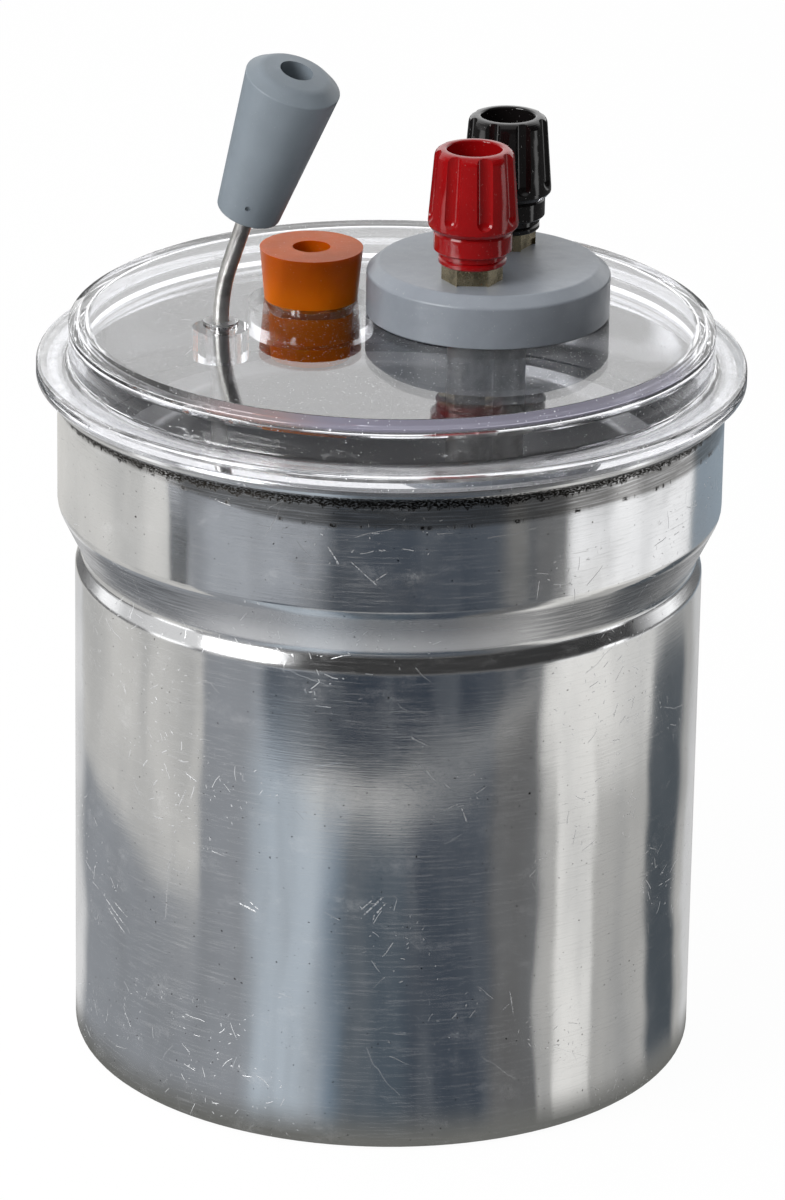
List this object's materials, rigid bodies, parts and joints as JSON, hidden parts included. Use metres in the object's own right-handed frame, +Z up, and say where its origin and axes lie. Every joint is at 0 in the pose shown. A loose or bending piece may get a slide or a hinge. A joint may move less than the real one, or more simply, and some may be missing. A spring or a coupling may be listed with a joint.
{
  "type": "calorimeter",
  "caption": "Aluminium calorimeter with a lift-out inner cup and a clear lid that carries an electric heater with binding posts, a ring stirrer and a thermometer stopper.",
  "frame": {"origin": "centre of the can's base, on the surface that it stands on", "axes": "+Z up along the can's axis, -Y towards the side from which the picture was taken, +X to its right"},
  "size_m": [0.1122, 0.1122, 0.167],
  "materials": {
    "polished_aluminium": "polished, with fine scratches",
    "cup_aluminium": "dull",
    "dark_plastic": "matte",
    "clear_plastic": "clear and glossy",
    "grey_plastic": "matte",
    "brass": "satin",
    "red_plastic": "glossy",
    "black_plastic": "glossy",
    "steel": "satin",
    "brown_laminate": "matte",
    "resistance_wire": "satin",
    "orange_rubber": "satin",
    "grey_rubber": "matte",
    "white_nylon": "translucent"
  },
  "bodies": {
    "can": {"outer_can": "polished_aluminium", "support_ring": "dark_plastic"},
    "cup": {"inner_cup": "cup_aluminium"},
    "lid": {"lid": "clear_plastic", "heater_disc": "grey_plastic", "red_post": "brass", "red_collar": "red_plastic", "black_post": "brass", "black_collar": "black_plastic", "red_heater_rod": "steel", "black_heater_rod": "steel", "rod_bar": "brown_laminate", "clamp_screws": "brass", "heater_coil": "resistance_wire"},
    "red_insert": {"red_insert": "brass"},
    "red_knob": {"red_knob": "red_plastic"},
    "black_insert": {"black_insert": "brass"},
    "black_knob": {"black_knob": "black_plastic"},
    "stopper": {"thermometer_stopper": "orange_rubber"},
    "bush": {"stirrer_bush": "white_nylon"},
    "stirrer": {"stirrer_rod": "steel", "stirrer_ring": "steel", "stirrer_handle": "grey_rubber"}
  },
  "joints": [
    {"name": "lid_lift", "type": "slide", "parent": "can", "child": "lid", "axis": [0, 0, 1], "range_m": [0, 0.215]},
    {"name": "cup_lift", "type": "slide", "parent": "can", "child": "cup", "axis": [0, 0, 1], "range_m": [0, 0.1075]},
    {"name": "stopper_pull", "type": "slide", "parent": "lid", "child": "stopper", "axis": [0, 0, 1], "range_m": [0, 0.03]},
    {"name": "stirrer_turn", "type": "hinge", "parent": "lid", "child": "bush", "pos_m": [-0.0269, -0.005, 0.12], "axis": [0, 0, 1], "range_deg": [-6, 6]},
    {"name": "stirrer_lift", "type": "slide", "parent": "bush", "child": "stirrer", "axis": [0, 0, 1], "range_m": [0, 0.08]},
    {"name": "red_knob_rise", "type": "slide", "parent": "lid", "child": "red_insert", "axis": [0, 0, 1], "range_m": [0, 0.003]},
    {"name": "red_knob_turn", "type": "hinge", "parent": "red_insert", "child": "red_knob", "pos_m": [0.0123, -0.0063, 0.14], "axis": [0, 0, 1], "range_deg": [0, 1080]},
    {"name": "black_knob_rise", "type": "slide", "parent": "lid", "child": "black_insert", "axis": [0, 0, 1], "range_m": [0, 0.003]},
    {"name": "black_knob_turn", "type": "hinge", "parent": "black_insert", "child": "black_knob", "pos_m": [0.0177, 0.0119, 0.14], "axis": [0, 0, 1], "range_deg": [0, 1080]}
  ],
  "couplings": [
    {"joint": "cup_lift", "follows": "lid_lift", "ratio": 0.5},
    {"joint": "red_knob_turn", "follows": "red_knob_rise", "rad_per_m": 6283.2},
    {"joint": "black_knob_turn", "follows": "black_knob_rise", "rad_per_m": 6283.2}
  ]
}
